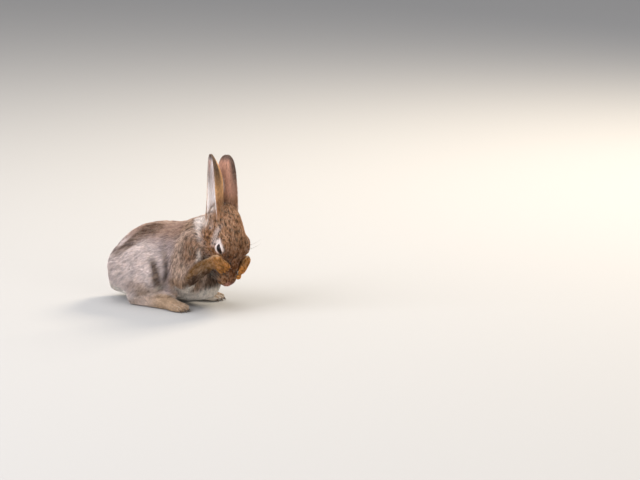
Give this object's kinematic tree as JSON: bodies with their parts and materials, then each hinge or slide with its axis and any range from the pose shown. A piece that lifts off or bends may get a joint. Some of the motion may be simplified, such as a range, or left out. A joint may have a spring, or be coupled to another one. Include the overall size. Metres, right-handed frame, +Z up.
{
  "type": "rabbit",
  "caption": "Young wild rabbit, life-size still model, sitting on its haunches with its head bowed and both forepaws raised to wash its face.",
  "frame": {"origin": "on the floor, under the middle of the bounding box", "axes": "+X is the way the rabbit's body faces and its longest extent, +Y is its left side and its shortest extent, +Z is up"},
  "size_m": [0.169, 0.0906, 0.1613],
  "materials": {
    "coat": "soft matt fur",
    "face_coat": "short soft matt fur",
    "paw_coat": "short soft matt fur",
    "tail_coat": "long soft matt fur",
    "ear_skin": "thin skin under very short fur, soft satin",
    "eye": "wet gloss"
  },
  "bodies": {
    "root": {"abdomen": "coat", "chest": "coat", "ear_left": "ear_skin", "ear_right": "ear_skin", "eye_left": "eye", "eye_right": "eye", "forearm_left": "coat", "forearm_right": "coat", "forepaw_left": "paw_coat", "forepaw_right": "paw_coat", "head": "face_coat", "hind_foot_left": "paw_coat", "hind_foot_right": "paw_coat", "lower_leg_left": "coat", "lower_leg_right": "coat", "neck": "coat", "rump": "coat", "tail": "tail_coat", "thigh_left": "coat", "thigh_right": "coat", "upper_arm_left": "coat", "upper_arm_right": "coat"}
  },
  "joints": []
}
